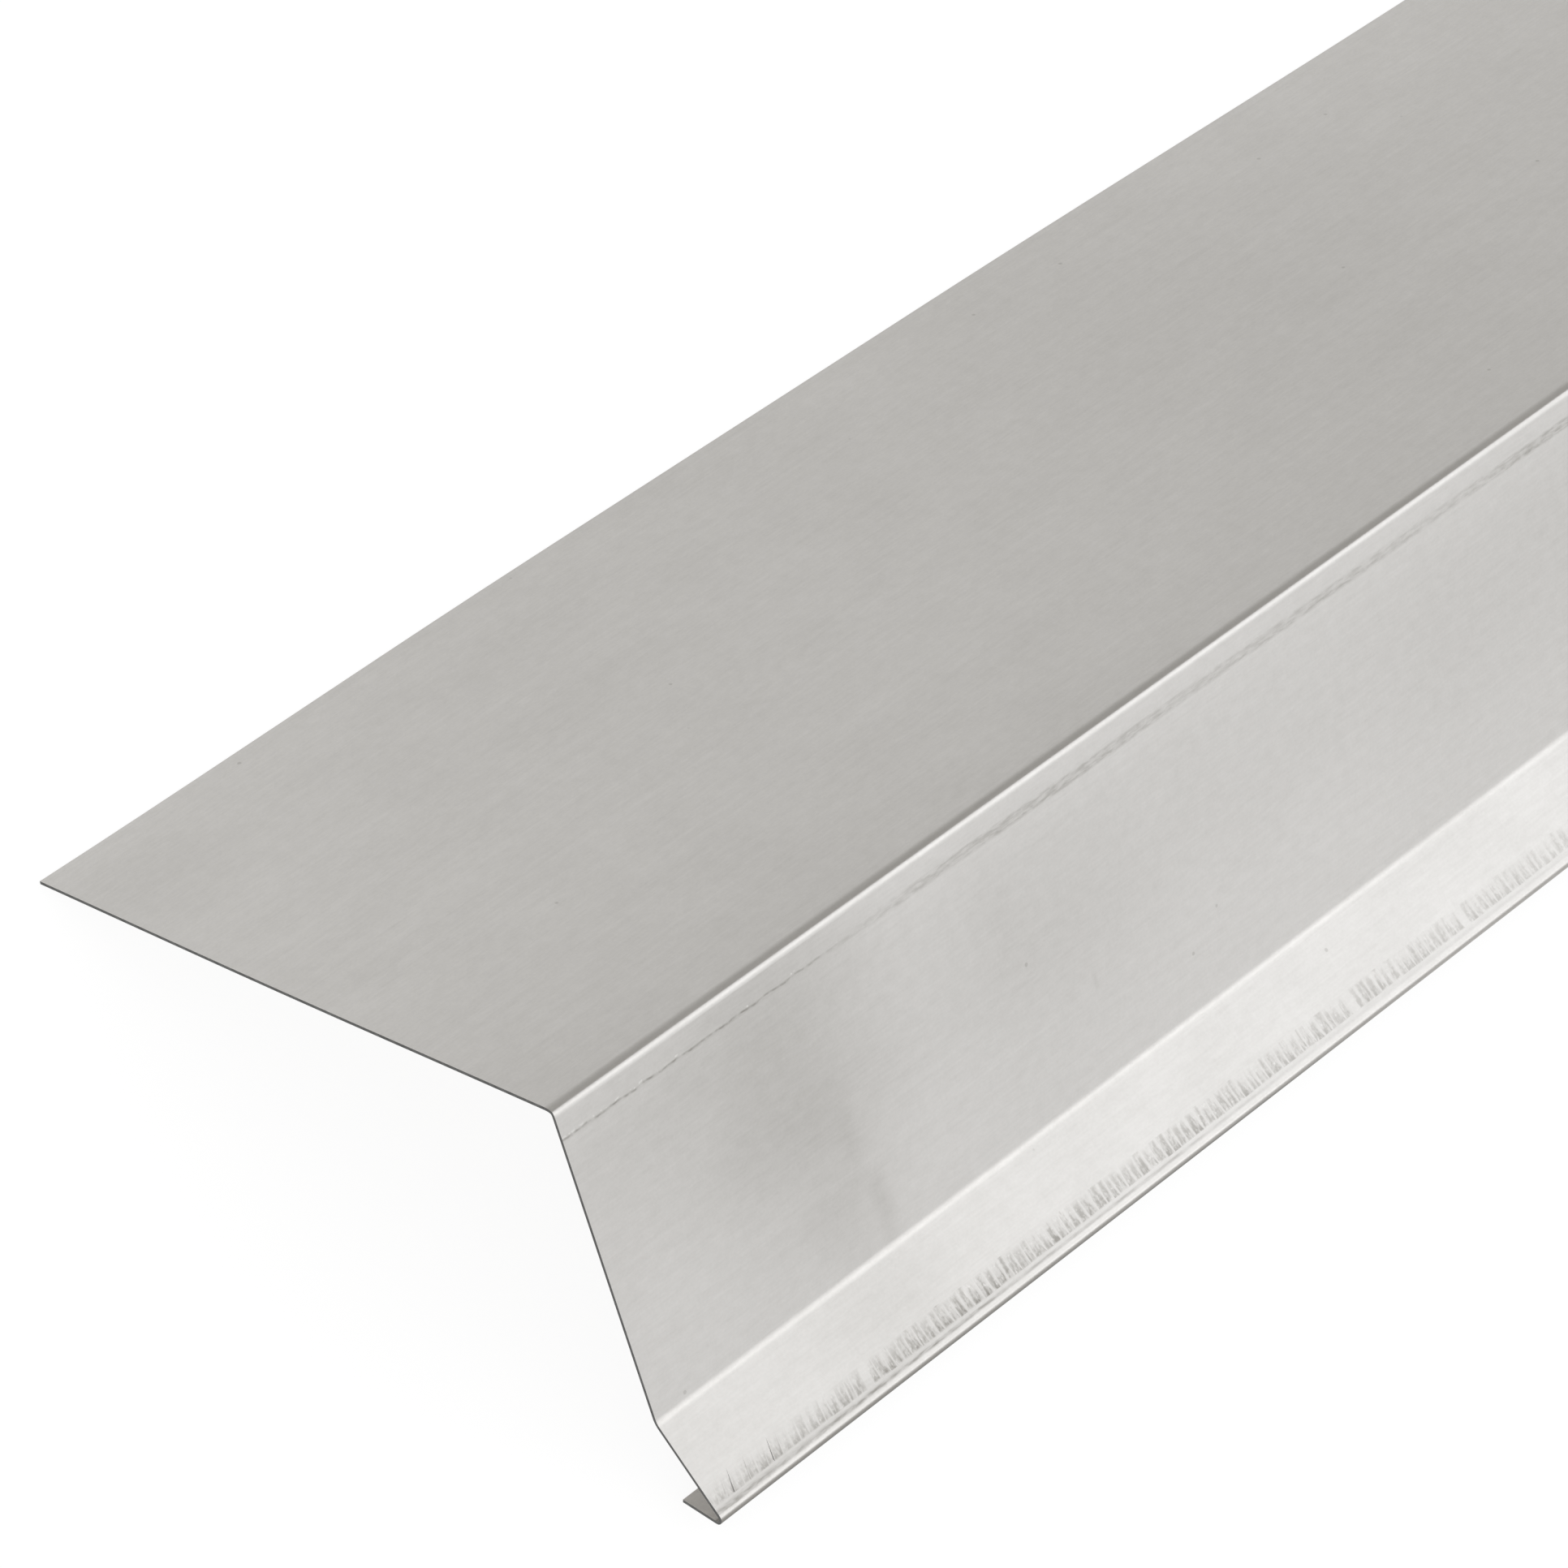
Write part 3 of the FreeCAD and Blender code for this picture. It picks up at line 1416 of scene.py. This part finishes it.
    def _fold_strip(self) -> bpy.types.Object:
        """Draw the strip of the weather side, leg by leg and fold by fold, over the whole length.

        Returns:
            The open strip, one face long.
        """
        section = self.section
        rows = self._rows(Leg.ROOF)
        heading = section.headings[0]
        bpy.ops.object.select_all(action="DESELECT")
        bpy.ops.mesh.primitive_plane_add(size=1.0)
        piece = bpy.context.object
        piece.name = "folded_sheet"
        piece.data.name = "folded_sheet"
        for _ in Side:
            piece.data.materials.append(None)
        bench = EditBench(piece)
        bpy.ops.mesh.select_all(action="SELECT")
        bpy.ops.transform.resize(value=(self.length, rows[0], 1.0))
        lean = math.atan2(-heading.z, -heading.y)
        mesh = bench.mesh()
        bmesh.ops.rotate(mesh, verts=mesh.verts, cent=(0.0, 0.0, 0.0), matrix=Matrix.Rotation(lean, 3, "X"))
        bench.update()
        bpy.ops.transform.translate(value=section.starts[0] + heading * (rows[0] / 2))
        front = min(vert.co.y for vert in bench.mesh().verts)
        bench.pick_edges(lambda edge: all(abs(vert.co.y - front) < NEAR for vert in edge.verts))
        self._extrude(self._strides(heading, rows))
        for number, bend in enumerate(section.bends):
            leg = Leg(number + 1)
            self._extrude(bend.strides)
            self._extrude(self._strides(section.headings[leg.value], [0.0, *self._rows(leg)]))
        bpy.ops.mesh.select_all(action="SELECT")
        bpy.ops.mesh.remove_doubles(threshold=NEAR)
        bpy.ops.mesh.normals_make_consistent(inside=False)
        mesh = bench.mesh()
        mesh.faces.ensure_lookup_table()
        mesh.normal_update()
        if mesh.faces[0].normal.z < 0:
            bpy.ops.mesh.flip_normals()
        bench.close()
        return piece

    @staticmethod
    def _strides(heading: Vector, rows: Sequence[float]) -> list[Vector]:
        """The strides from one row to the next.

        Args:
            heading: The direction to go in.
            rows: Distances of the rows from one start.

        Returns:
            One stride less than there are rows.
        """
        return [heading * (far - near) for near, far in zip(rows[:-1], rows[1:])]

    @staticmethod
    def _extrude(strides: Sequence[Vector]) -> None:
        """Extrude the selected edge, stride by stride."""
        for stride in strides:
            bpy.ops.mesh.extrude_edges_move(TRANSFORM_OT_translate={"value": stride})

    def _divide(self, piece: bpy.types.Object) -> None:
        """Cut the strip into columns along the stock.

        Args:
            piece: The piece.
        """
        bench = EditBench(piece)
        for cuts in self.column_cuts:
            bench.pick_edges(lambda edge: abs(edge.verts[0].co.x - edge.verts[1].co.x) > self.column / 2)
            bpy.ops.mesh.subdivide(number_cuts=cuts)
        bench.close()

    def _sag(self, piece: bpy.types.Object) -> None:
        """Let the roof leg's middle sag and its free edge wave, and set its near end out of square.

        Args:
            piece: The piece.
        """
        flat = self.section.flats[Leg.ROOF.value]
        inwards = self.section.inwards(Leg.ROOF)
        for vert in piece.data.vertices:
            reach = self.section.reach(Leg.ROOF, vert.co)
            if abs(self.section.depth(Leg.ROOF, vert.co)) < NEAR and reach < flat:
                from_end = self._from_end(vert.co)
                sag = self.sag * math.sin(math.pi * reach / flat) ** 2
                vert.co += inwards * (sag - self.wave.at(from_end, reach / flat))
                if from_end < NEAR:
                    vert.co.x -= self.skew * math.sin(math.pi / 2 * (1.0 - reach / flat))

    def _thicken(self, piece: bpy.types.Object) -> None:
        """Give the strip the sheet's thickness, and round its cut edges.

        Args:
            piece: The piece.
        """
        make_active(piece)
        wall = piece.modifiers.new("wall", "SOLIDIFY")
        wall.thickness = self.section.sheet
        wall.offset = -1.0
        wall.use_even_offset = True
        wall.material_offset = Side.INNER.value
        wall.material_offset_rim = Side.CUT.value
        bpy.ops.object.modifier_apply(modifier=wall.name)
        rounding = piece.modifiers.new("rounding", "BEVEL")
        rounding.width = self.burr
        rounding.segments = 2
        rounding.limit_method = "ANGLE"
        rounding.angle_limit = math.radians(self.cut_angle)
        rounding.material = Side.CUT.value
        bpy.ops.object.modifier_apply(modifier=rounding.name)

    def _in_rows(self, face: bmesh.types.BMFace, leg: Leg, low: float, high: float) -> bool:
        """Whether a face lies on a leg's weather side, between two distances from the start of its flat.

        Args:
            face: The face.
            leg: The leg.
            low: The nearer distance.
            high: The farther distance.

        Returns:
            True if it does.
        """
        if face.material_index != Side.WEATHER.value:
            return False
        middle = face.calc_center_median()
        if abs(self.section.depth(leg, middle)) > self.section.sheet / 4:
            return False
        return low < self.section.reach(leg, middle) < high

    def _cut_columns(self, bench: EditBench, leg: Leg, low: float, high: float, cuts: int) -> None:
        """Cut the columns finer, between two distances across a leg.

        Args:
            bench: The piece being edited.
            leg: The leg.
            low: The nearer distance.
            high: The farther distance.
            cuts: Cuts in each column.
        """
        def wanted(edge: bmesh.types.BMEdge) -> bool:
            """Whether an edge runs along the stock and borders a face of the strip."""
            run = edge.verts[1].co - edge.verts[0].co
            if abs(run.x) < 0.9 * run.length or abs(run.x) < self.column / 2:
                return False
            return any(self._in_rows(face, leg, low, high) for face in edge.link_faces)

        bench.pick_edges(wanted)
        bpy.ops.mesh.subdivide(number_cuts=cuts)

    def _press_line(self, piece: bpy.types.Object, line: PressedLine) -> None:
        """Press one of the brake's lines into the sheet.

        Args:
            piece: The piece.
            line: The line.
        """
        section = self.section
        places = line.places(section)
        inwards = section.inwards(line.leg)
        bench = EditBench(piece)
        self._cut_columns(bench, line.leg, places[0], places[-1], line.cuts)
        mesh = bench.mesh()
        layer = bench.layer(self.PRESSED)
        for vert in mesh.verts:
            reach = section.reach(line.leg, vert.co)
            inside = places[0] + NEAR < reach < places[-1] - NEAR
            if inside and abs(section.depth(line.leg, vert.co)) < NEAR:
                spot = (self._from_end(vert.co), reach - line.middle(section))
                vert.co += inwards * line.sink(*spot)
                vert[layer] = line.press(*spot) * line.dullness
        bench.update()
        bench.close()
        LOG.info("pressed line on the %s", line.leg.name.lower())

    def _strike(self, piece: bpy.types.Object) -> None:
        """Press the folding tool's strikes into the kick.

        Args:
            piece: The piece.
        """
        strikes = self.strikes
        low = self.section.flats[Leg.KICK.value] - strikes.above_fold
        high = low - strikes.reach
        dice = random.Random(self.seed)
        bench = EditBench(piece)
        self._cut_columns(bench, Leg.KICK, high - strikes.guard, low + strikes.guard, strikes.cuts)
        self._stagger(bench, high, low, dice)
        cells = [face for face in bench.mesh().faces if self._in_rows(face, Leg.KICK, high, low)]

        def place_of(face: bmesh.types.BMFace) -> float:
            """Distance of a face from the near end, rounded so that it can be looked up."""
            return round(self._from_end(face.calc_center_median()), 7)

        kinds = {place: strikes.kind(place, dice.random()) for place in sorted(map(place_of, cells))}

        def struck_as(face: bmesh.types.BMFace) -> Strike | None:
            """The kind of strike that a face of the row takes."""
            return kinds.get(place_of(face)) if self._in_rows(face, Leg.KICK, high, low) else None

        for kind in Strike:
            count = bench.pick_faces(lambda face: struck_as(face) is kind)
            bpy.ops.mesh.inset(thickness=strikes.rim, depth=-kind.depth, use_individual=True)
            self._shape_strikes(bench, kind, dice)
            LOG.info("%d %s strikes", count, kind.name.lower())
        bench.close()

    def _stagger(self, bench: EditBench, high: float, low: float, dice: random.Random) -> None:
        """Set the sides of the strikes at uneven places, leaning along the stock.

        Args:
            bench: The piece being edited.
            high: Distance of the strikes' upper ends across the kick.
            low: Distance of their lower ends.
            dice: The random numbers.
        """
        strikes = self.strikes
        mesh = bench.mesh()
        sides = [
            edge
            for edge in mesh.edges
            if len(edge.link_faces) == 2
            and all(self._in_rows(face, Leg.KICK, high, low) for face in edge.link_faces)
        ]
        for edge in sorted(sides, key=lambda side: side.verts[0].co.x):
            stray = dice.uniform(-1.0, 1.0)
            for vert in edge.verts:
                upper = self.section.reach(Leg.KICK, vert.co) < (high + low) / 2
                lean = strikes.lean(self._from_end(vert.co))
                off = dice.uniform(-strikes.ends_stray, strikes.ends_stray)
                vert.co.x += (stray + off) * strikes.stagger
                vert.co.x += lean * (0.5 if upper else -0.5)
        bench.update()

    def _shape_strikes(self, bench: EditBench, kind: Strike, dice: random.Random) -> None:
        """Taper the selected dents to their upper ends, each to its own length, and mark them as pressed.

        Args:
            bench: The piece being edited.
            kind: How hard they were struck.
            dice: The random numbers.
        """
        strikes = self.strikes
        section = self.section
        heading = section.headings[Leg.KICK.value]
        inwards = section.inwards(Leg.KICK)
        mesh = bench.mesh()
        layer = bench.layer(self.STRUCK)
        dents = [face for face in mesh.faces if face.select]
        for face in sorted(dents, key=lambda dent: dent.calc_center_median().x):
            middle = face.calc_center_median()
            from_end = self._from_end(middle)
            pressure = strikes.pressure(from_end)
            length = strikes.length(from_end, dice.random())
            tone = kind.dullness * pressure**strikes.tone_power * dice.uniform(*strikes.tones)
            foot = max(section.reach(Leg.KICK, vert.co) for vert in face.verts)
            foot -= dice.uniform(0.0, strikes.foot_stray)
            width = dice.uniform(*strikes.widths)
            tip = dice.uniform(*strikes.tips)
            sides = {upper: self._mean_x(face, middle, heading, upper) for upper in (True, False)}
            for vert in face.verts:
                reach = section.reach(Leg.KICK, vert.co)
                upper = reach < section.reach(Leg.KICK, middle)
                target = foot - length if upper else foot
                spread = tip * width if upper else width
                vert.co += heading * (target - reach) - inwards * kind.depth * (1.0 - pressure)
                vert.co.x = sides[upper] + (vert.co.x - sides[upper]) * spread
                vert[layer] = tone * (strikes.tip_tone if upper else 1.0)
                # Lighter rims round each strike: partly burnished zinc, partly painted highlight.
                for edge in vert.link_edges:
                    rim = edge.other_vert(vert)
                    if rim not in face.verts:
                        rim[layer] = -strikes.rim_highlight * pressure
        bench.update()

    @staticmethod
    def _mean_x(face: bmesh.types.BMFace, middle: Vector, heading: Vector, upper: bool) -> float:
        """Mean place along the stock of the corners at one end of a dent.

        Args:
            face: The dent.
            middle: Its middle.
            heading: The direction from its upper end to its lower.
            upper: Which end.

        Returns:
            The place.
        """
        places = [vert.co.x for vert in face.verts if ((vert.co - middle).dot(heading) < 0.0) == upper]
        return sum(places) / len(places)

    def _map(self, piece: bpy.types.Object) -> None:
        """Lay the developed coordinates on the piece as its UV map: along the stock, and across the sheet.

        Args:
            piece: The piece.
        """
        data = piece.data
        points = np.zeros(len(data.vertices) * 3)
        data.vertices.foreach_get("co", points)
        points = points.reshape(-1, 3)
        across = self.section.developed(points)
        corners = np.zeros(len(data.loops), dtype=np.int64)
        data.loops.foreach_get("vertex_index", corners)
        for layer in list(data.uv_layers):
            data.uv_layers.remove(layer)
        layer = data.uv_layers.new(name=self.DEVELOPED)
        flat = np.column_stack([points[corners, 0], across[corners]])
        layer.data.foreach_set("uv", flat.astype(np.float32).ravel())

    def _smooth(self, piece: bpy.types.Object) -> None:
        """Shade the folds smooth, and keep the cut edges sharp."""
        make_active(piece)
        bpy.ops.object.shade_smooth_by_angle(angle=math.radians(self.smooth_angle))


@dataclass(frozen=True)
class PhotoCamera:
    """The photograph's camera.

    Attributes:
        place: Where it stands.
        azimuth: Degrees; 0 looks along +Y and 90 along -X.
        elevation: Degrees above the horizon.
        roll: Degrees that the picture's up is turned from the frame's.
        focal_pixels: Focal length in pixels of the picture.
        picture_pixels: Width of the picture.
        sensor: Width of the sensor, in millimetres.
    """

    place: tuple[float, float, float] = (-1.53086, -0.29398, 0.81519)
    azimuth: float = -63.92
    elevation: float = 49.121
    roll: float = 22.406
    focal_pixels: float = 9000.0
    picture_pixels: float = 1932.0
    sensor: float = 36.0

    def set_up(self) -> None:
        """Add the camera and make it the scene's."""
        turn = math.radians(self.azimuth)
        rise = math.radians(self.elevation)
        flat = math.cos(rise)
        forward = Vector((-math.sin(turn) * flat, math.cos(turn) * flat, -math.sin(rise)))
        bpy.ops.object.camera_add(location=self.place)
        camera = bpy.context.object
        camera.name = "photo_camera"
        camera.rotation_mode = "QUATERNION"
        level = forward.to_track_quat("-Z", "Y")
        camera.rotation_quaternion = level @ Quaternion((0.0, 0.0, 1.0), math.radians(self.roll))
        camera.data.sensor_width = self.sensor
        camera.data.lens = self.sensor * self.focal_pixels / self.picture_pixels
        camera.data.clip_start = 0.05
        camera.data.clip_end = 200.0
        bpy.context.scene.camera = camera


@dataclass(frozen=True)
class Panel:
    """A flat panel of the studio, hung along the stock.

    Attributes:
        name: Its name.
        upper: Its upper edge, as y and z.
        lower: Its lower edge.
        start: Where it starts along the stock.
        end: Where it ends.
        radiance: Its brightness in red, green and blue.
    """

    name: str
    upper: tuple[float, float]
    lower: tuple[float, float]
    start: float
    end: float
    radiance: tuple[float, float, float]

    @property
    def middle(self) -> Vector:
        """Its middle."""
        heights = zip(self.upper, self.lower)
        return Vector(((self.start + self.end) / 2, *(sum(pair) / 2 for pair in heights)))

    @property
    def run(self) -> float:
        """Its length along the stock."""
        return self.end - self.start

    @property
    def width(self) -> float:
        """Its width from edge to edge."""
        return math.dist(self.upper, self.lower)

    @property
    def lean(self) -> float:
        """The angle about +X of its way from the upper edge to the lower."""
        return math.atan2(self.lower[1] - self.upper[1], self.lower[0] - self.upper[0])


@dataclass(frozen=True)
class Studio:
    """A plain white studio: floor, soft light, and grey cards that the metal shows.

    Attributes:
        floor_size: Side of the square floor.
        floor_grey: Colour of the floor's paper.
        floor_glow: What the floor adds to itself for rays that show it, so that it is white
            with a soft shadow.
        world_level: Strength of the world on diffuse surfaces.
        boxes: The soft boxes over the front of the stock.
        cards: The cards that darken what the roof leg and the face show.
    """

    floor_size: float = 60.0
    floor_grey: float = 0.16
    floor_glow: float = 0.892
    world_level: float = 0.75
    boxes: tuple[Panel, ...] = (
        Panel("wide_box", (-0.32, 2.28), (-2.1, 0.94), 0.35, 6.0, (0.43, 0.445, 0.47)),
        Panel("slim_box", (-1.42, 1.81), (-2.03, 1.08), -0.8, 1.05, (0.6, 0.6, 0.6)),
    )
    cards: tuple[Panel, ...] = (
        Panel("back_card", (0.12, 2.6), (2.6, 0.95), -0.3, 2.4, (0.365, 0.355, 0.335)),
        Panel("front_card", (-2.45, 0.62), (-2.6, 0.12), -4.5, 6.0, (0.84, 0.845, 0.86)),
    )

    def set_up(self) -> None:
        """Add everything, and set the view transform."""
        bpy.context.scene.view_settings.view_transform = "Standard"
        self._lay_floor()
        self._light_world()
        for box in self.boxes:
            self._hang_box(box)
        for card in self.cards:
            self._hang_card(card)
        LOG.info("studio with %d soft boxes and %d cards", len(self.boxes), len(self.cards))

    @staticmethod
    def _shown(bench: NodeBench) -> Wire:
        """1 for rays that show the backdrop, straight or in metal or glass, and 0 for the rest.

        Args:
            bench: The bench.

        Returns:
            The value.
        """
        path = bench.node("ShaderNodeLightPath")
        camera = Wire(bench, path.outputs["Is Camera Ray"])
        mirror = Wire(bench, path.outputs["Is Glossy Ray"])
        glass = Wire(bench, path.outputs["Is Transmission Ray"])
        return bench.math("MINIMUM", camera + mirror + glass, 1.0)

    def _lay_floor(self) -> None:
        """Lay the pale floor, which is clear from below."""
        bpy.ops.mesh.primitive_plane_add(size=self.floor_size)
        floor = bpy.context.object
        floor.name = "floor"
        made, bench = new_material("floor_paper")
        grey = (self.floor_grey, self.floor_grey, self.floor_grey, 1.0)
        paper = bench.node("ShaderNodeBsdfDiffuse", None, {"Color": grey})
        glow = bench.node("ShaderNodeEmission", None, {"Strength": self._shown(bench) * self.floor_glow})
        top = bench.node("ShaderNodeAddShader", None, {0: paper.outputs[0], 1: glow.outputs[0]})
        under = bench.node("ShaderNodeBsdfTransparent")
        below = bench.wire("ShaderNodeNewGeometry", None, None, "Backfacing")
        both = bench.node("ShaderNodeMixShader", None, {0: below, 1: top.outputs[0], 2: under.outputs[0]})
        bench.surface(both)
        floor.data.materials.append(made)

    def _light_world(self) -> None:
        """White all round for rays that show it, and a plain level of soft light for the rest."""
        world = bpy.data.worlds.new("white_studio")
        bpy.context.scene.world = world
        world.use_nodes = True
        bench = NodeBench(world.node_tree)
        strength = self.world_level + self._shown(bench) * (1.0 - self.world_level)
        sockets = {"Color": (1.0, 1.0, 1.0, 1.0), "Strength": strength}
        sky = bench.node("ShaderNodeBackground", None, sockets)
        bench.node("ShaderNodeOutputWorld", None, {"Surface": sky.outputs[0]})

    @staticmethod
    def _hang_box(panel: Panel) -> None:
        """Hang one soft box.

        Args:
            panel: The soft box.
        """
        bpy.ops.object.light_add(type="AREA", location=panel.middle)
        lamp = bpy.context.object
        lamp.name = panel.name
        lamp.rotation_euler.x = panel.lean + math.pi
        lamp.data.shape = "RECTANGLE"
        lamp.data.size = panel.run
        lamp.data.size_y = panel.width
        lamp.data.color = panel.radiance
        lamp.data.energy = math.pi * panel.run * panel.width
        lamp.visible_camera = False

    @staticmethod
    def _hang_card(panel: Panel) -> None:
        """Hang one card, for the metal alone to show.

        Args:
            panel: The card.
        """
        bpy.ops.mesh.primitive_plane_add(size=1.0, location=panel.middle)
        card = bpy.context.object
        card.name = panel.name
        card.scale = (panel.run, panel.width, 1.0)
        card.rotation_euler.x = panel.lean
        made, bench = new_material(panel.name)
        glow = bench.node("ShaderNodeEmission", None, {"Color": (*panel.radiance, 1.0), "Strength": 1.0})
        bench.surface(glow)
        card.data.materials.append(made)
        card.visible_camera = False
        card.visible_diffuse = False
        card.visible_shadow = False
        card.visible_transmission = False


def main() -> None:
    """Load the frame, model and dress the sheet, and set up the studio."""
    logging.basicConfig(level=logging.INFO, format="%(name)s: %(message)s")
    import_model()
    low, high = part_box("drip_edge")
    section = Section()
    section.lay(low, high)
    sheet = DripEdge(section, high.x - low.x)
    piece = sheet.build()
    sheet.dress(piece)
    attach(piece, "root")
    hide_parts("drip_edge")
    LOG.info("%s: %d faces", piece.name, len(piece.data.polygons))
    Studio().set_up()
    PhotoCamera().set_up()


if __name__ == "__main__":
    main()
